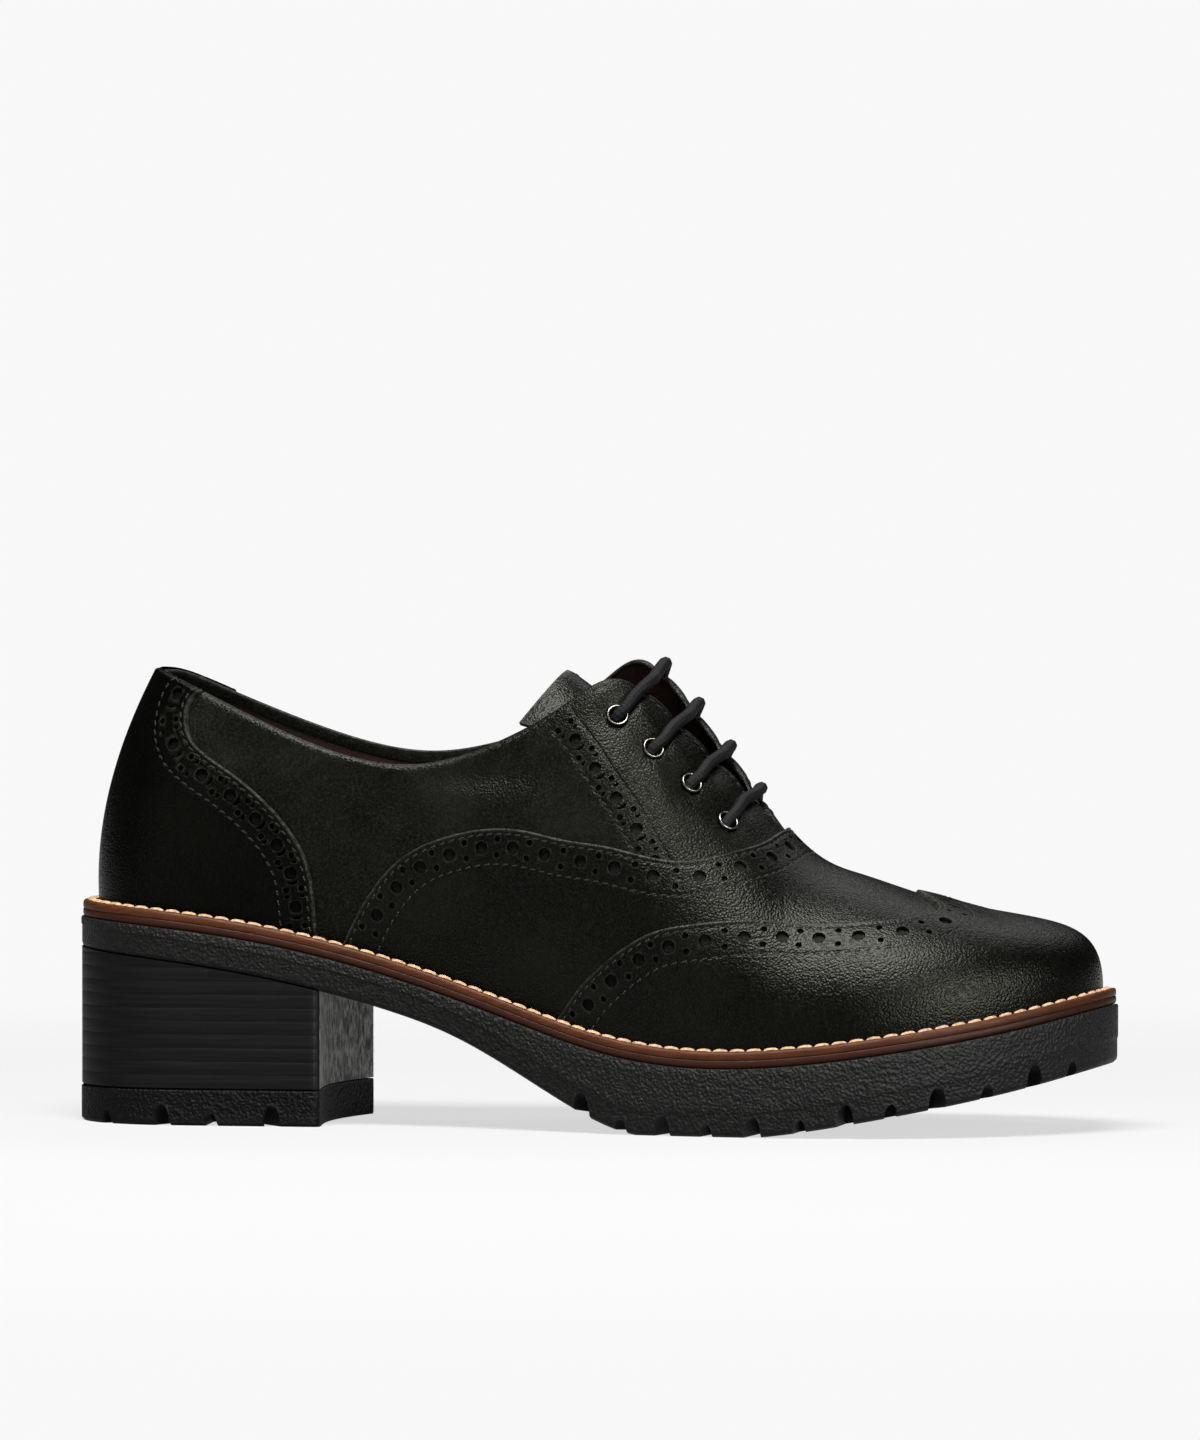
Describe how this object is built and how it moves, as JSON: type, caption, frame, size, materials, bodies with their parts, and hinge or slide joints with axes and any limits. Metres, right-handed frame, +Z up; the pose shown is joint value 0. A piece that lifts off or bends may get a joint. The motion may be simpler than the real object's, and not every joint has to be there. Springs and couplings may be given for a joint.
{
  "type": "lace-up shoe",
  "caption": "Black leather wing-tip lace-up shoe with punched brogue bands, a stitched brown welt, a notched rubber sole and a block heel.",
  "frame": {"origin": "centre of the shoe's bounding box, on the floor it stands on", "axes": "+X from heel to toe, +Z up, the outer (lateral) side of the right shoe at -Y"},
  "size_m": [0.2684, 0.0944, 0.1204],
  "materials": {
    "black_leather": "smooth satin calf with a fine grain",
    "lining_leather": "matt dark red-brown lining leather",
    "welt_leather": "waxed brown welt edge",
    "sole_rubber": "matt, crepe-textured on its side",
    "heel_stack": "satin stacked layers, brushed grey front",
    "eyelet_metal": "dark gunmetal",
    "lace_cord": "waxed woven round cord"
  },
  "bodies": {
    "root": {"outsole": "sole_rubber", "heel_block": "heel_stack", "heel_top_piece": "sole_rubber", "welt": "welt_leather", "insole": "lining_leather", "upper": "black_leather", "vamp": "black_leather", "toe_cap": "black_leather", "heel_counter": "black_leather", "tongue": "black_leather", "eyelet_lateral_1": "eyelet_metal", "eyelet_lateral_2": "eyelet_metal", "eyelet_lateral_3": "eyelet_metal", "eyelet_lateral_4": "eyelet_metal", "eyelet_medial_1": "eyelet_metal", "eyelet_medial_2": "eyelet_metal", "eyelet_medial_3": "eyelet_metal", "eyelet_medial_4": "eyelet_metal", "lace_bar_1": "lace_cord", "lace_bar_2": "lace_cord", "lace_bar_3": "lace_cord", "lace_bar_4": "lace_cord"}
  },
  "joints": []
}
